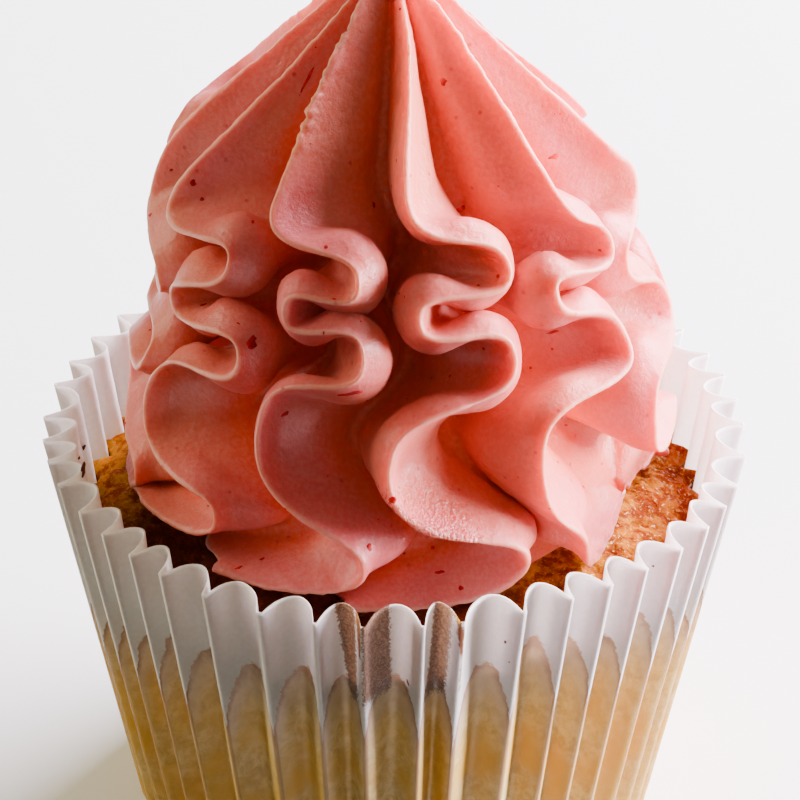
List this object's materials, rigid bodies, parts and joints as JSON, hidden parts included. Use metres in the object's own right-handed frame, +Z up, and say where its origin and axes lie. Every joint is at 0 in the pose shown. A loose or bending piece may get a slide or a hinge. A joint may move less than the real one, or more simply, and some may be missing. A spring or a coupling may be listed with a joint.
{
  "type": "frosted cupcake",
  "caption": "Cupcake in a pleated white paper case, with a tall piped swirl of wavy folded pink frosting speckled with fruit.",
  "frame": {"origin": "centre of the flat underside of the paper case", "axes": "+Z up along the swirl, the front faces -Y, +X to the viewer's right"},
  "size_m": [0.0672, 0.0688, 0.092],
  "materials": {
    "paper": "matte",
    "sponge": "matte",
    "buttercream": "satin"
  },
  "bodies": {
    "root": {"paper_case": "paper", "cake": "sponge", "frosting": "buttercream"}
  },
  "joints": []
}
